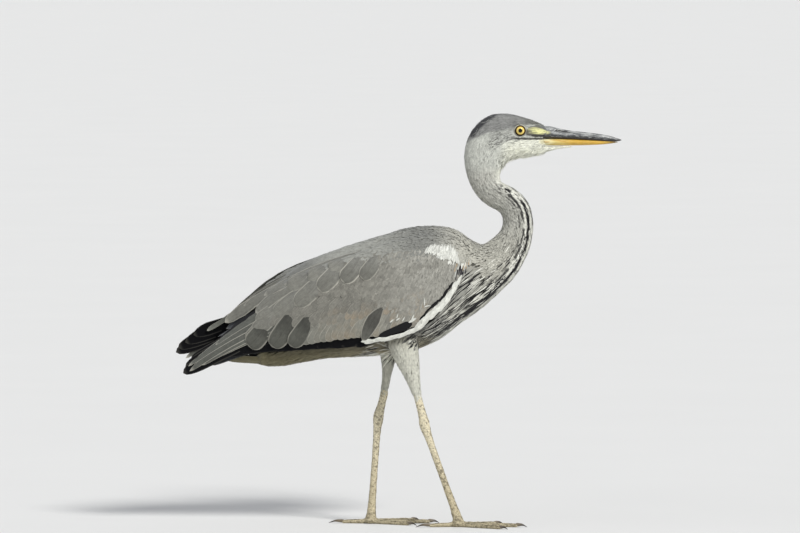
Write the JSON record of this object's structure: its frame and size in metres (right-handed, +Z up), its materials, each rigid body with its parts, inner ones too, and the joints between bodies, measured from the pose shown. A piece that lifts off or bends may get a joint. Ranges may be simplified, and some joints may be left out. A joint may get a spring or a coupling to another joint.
{
  "type": "grey heron",
  "caption": "Life-size grey heron in first-winter plumage, standing in a slow stride, its neck in an S bend and its wings folded.",
  "frame": {"origin": "on the floor, under the middle of the bird's box", "axes": "+X the way the bill points, +Y the bird's left side, +Z up"},
  "size_m": [0.6475, 0.1472, 0.5979],
  "materials": {
    "plumage_grey": "soft matt grey feathers with paler edges",
    "plumage_pale": "soft matt off-white feathers with dark streaks",
    "plumage_black": "satin slate-black flight feathers",
    "bill_slate": "smooth satin horn with pale scuffs",
    "bill_yellow": "smooth satin yellow-orange horn",
    "leg_skin": "scaled matt skin, greyish yellow with dark speckles",
    "claw_horn": "smooth dark horn",
    "eye": "wet glossy yellow eye with a black pupil"
  },
  "bodies": {
    "root": {"head": "plumage_grey", "neck_upper": "plumage_pale", "neck_lower": "plumage_pale", "trunk": "plumage_grey", "tail": "plumage_grey", "bill_upper": "bill_slate", "bill_lower": "bill_yellow", "eye_right": "eye", "wing_right": "plumage_grey", "primaries_right": "plumage_black", "thigh_right": "plumage_pale", "shank_right": "leg_skin", "tarsus_right": "leg_skin", "toe_middle_right": "leg_skin", "claw_middle_right": "claw_horn", "toe_inner_right": "leg_skin", "claw_inner_right": "claw_horn", "toe_outer_right": "leg_skin", "claw_outer_right": "claw_horn", "toe_hind_right": "leg_skin", "claw_hind_right": "claw_horn", "eye_left": "eye", "wing_left": "plumage_grey", "primaries_left": "plumage_black", "thigh_left": "plumage_pale", "shank_left": "leg_skin", "tarsus_left": "leg_skin", "toe_middle_left": "leg_skin", "claw_middle_left": "claw_horn", "toe_inner_left": "leg_skin", "claw_inner_left": "claw_horn", "toe_outer_left": "leg_skin", "claw_outer_left": "claw_horn", "toe_hind_left": "leg_skin", "claw_hind_left": "claw_horn"}
  },
  "joints": []
}
